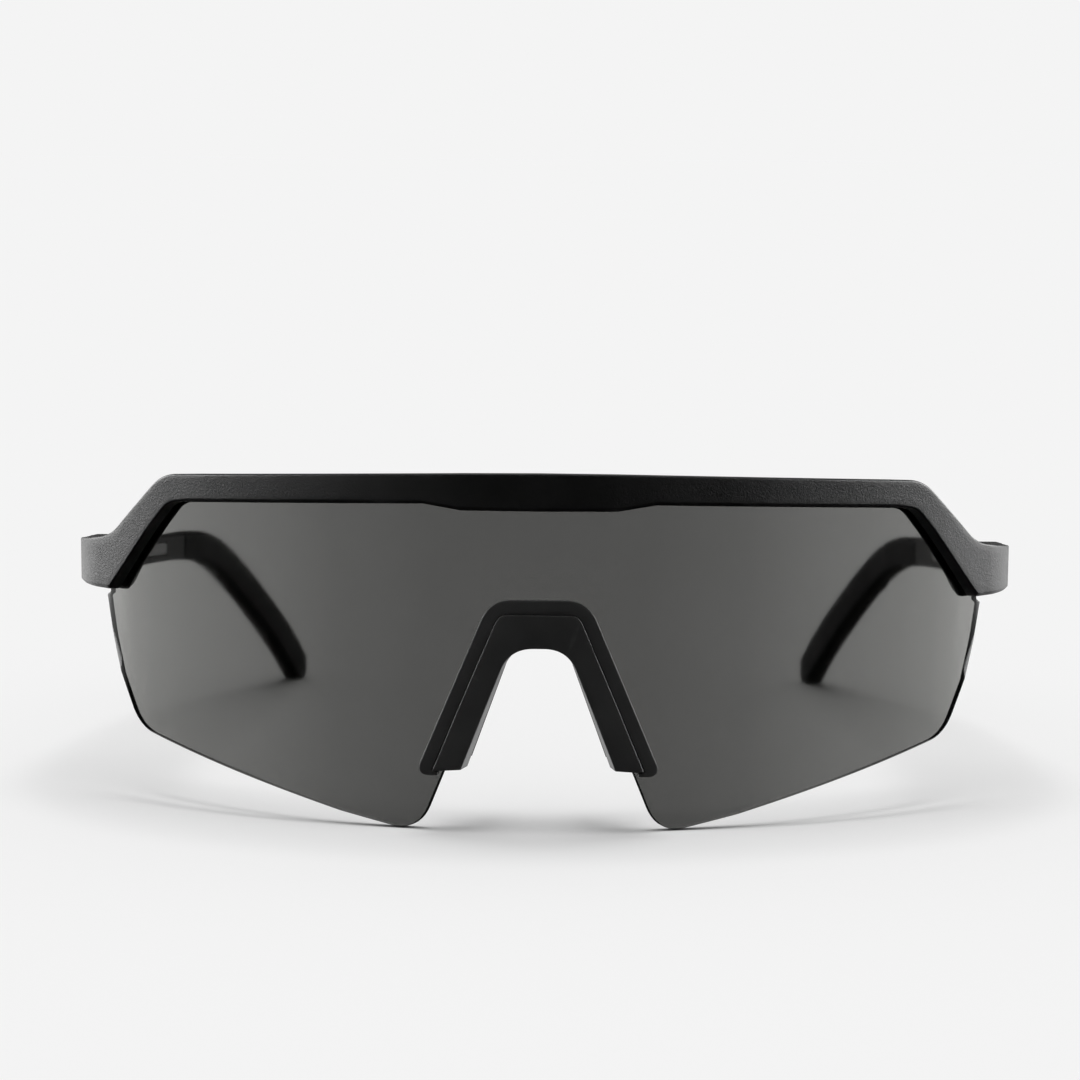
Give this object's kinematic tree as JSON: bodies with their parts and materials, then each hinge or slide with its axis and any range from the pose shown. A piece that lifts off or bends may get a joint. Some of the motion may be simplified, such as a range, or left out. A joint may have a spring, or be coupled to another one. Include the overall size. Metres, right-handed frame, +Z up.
{
  "type": "wraparound sport sunglasses",
  "caption": "Half-frame wraparound sport sunglasses with one smoke shield lens, a clip-on nosepiece and folding temples with rubber tips.",
  "frame": {"origin": "centre of the bounding box on the plane that the glasses stand on, temples open", "axes": "+Z up, the lens faces -Y and the temples run along +Y, +X is the wearer's left"},
  "size_m": [0.1446, 0.1556, 0.0533],
  "materials": {
    "soft_touch_frame": "soft-touch matte black",
    "smoke_lens": "polished smoke-grey polycarbonate",
    "moulded_nosepiece": "fine satin moulded black",
    "soft_rubber": "matte rubber",
    "grey_inlay": "satin dark grey",
    "core_steel": "drawn steel",
    "screw_steel": "blackened steel",
    "bush_polymer": "natural acetal",
    "insert_brass": "machined brass"
  },
  "bodies": {
    "front": {"front_frame": "soft_touch_frame", "lens": "smoke_lens", "nose_carrier": "moulded_nosepiece", "nose_rim": "moulded_nosepiece", "nose_core": "core_steel", "nose_pad_left": "soft_rubber", "nose_pad_right": "soft_rubber", "hinge_screw_left": "screw_steel", "hinge_screw_right": "screw_steel", "hinge_insert_left": "insert_brass", "hinge_insert_right": "insert_brass"},
    "temple_left": {"temple_arm_left": "soft_touch_frame", "arm_inlay_left": "grey_inlay", "temple_core_left": "core_steel", "temple_tip_left": "soft_rubber", "hinge_bush_left": "bush_polymer"},
    "temple_right": {"temple_arm_right": "soft_touch_frame", "arm_inlay_right": "grey_inlay", "temple_core_right": "core_steel", "temple_tip_right": "soft_rubber", "hinge_bush_right": "bush_polymer"}
  },
  "joints": [
    {"name": "temple_left_fold", "type": "hinge", "parent": "front", "child": "temple_left", "pos_m": [0.0693, -0.02201, 0.03456], "axis": [0, 0.0785, 0.9969], "range_deg": [0, 92]},
    {"name": "temple_right_fold", "type": "hinge", "parent": "front", "child": "temple_right", "pos_m": [-0.0693, -0.02201, 0.03456], "axis": [0, -0.0785, -0.9969], "range_deg": [0, 84]}
  ]
}
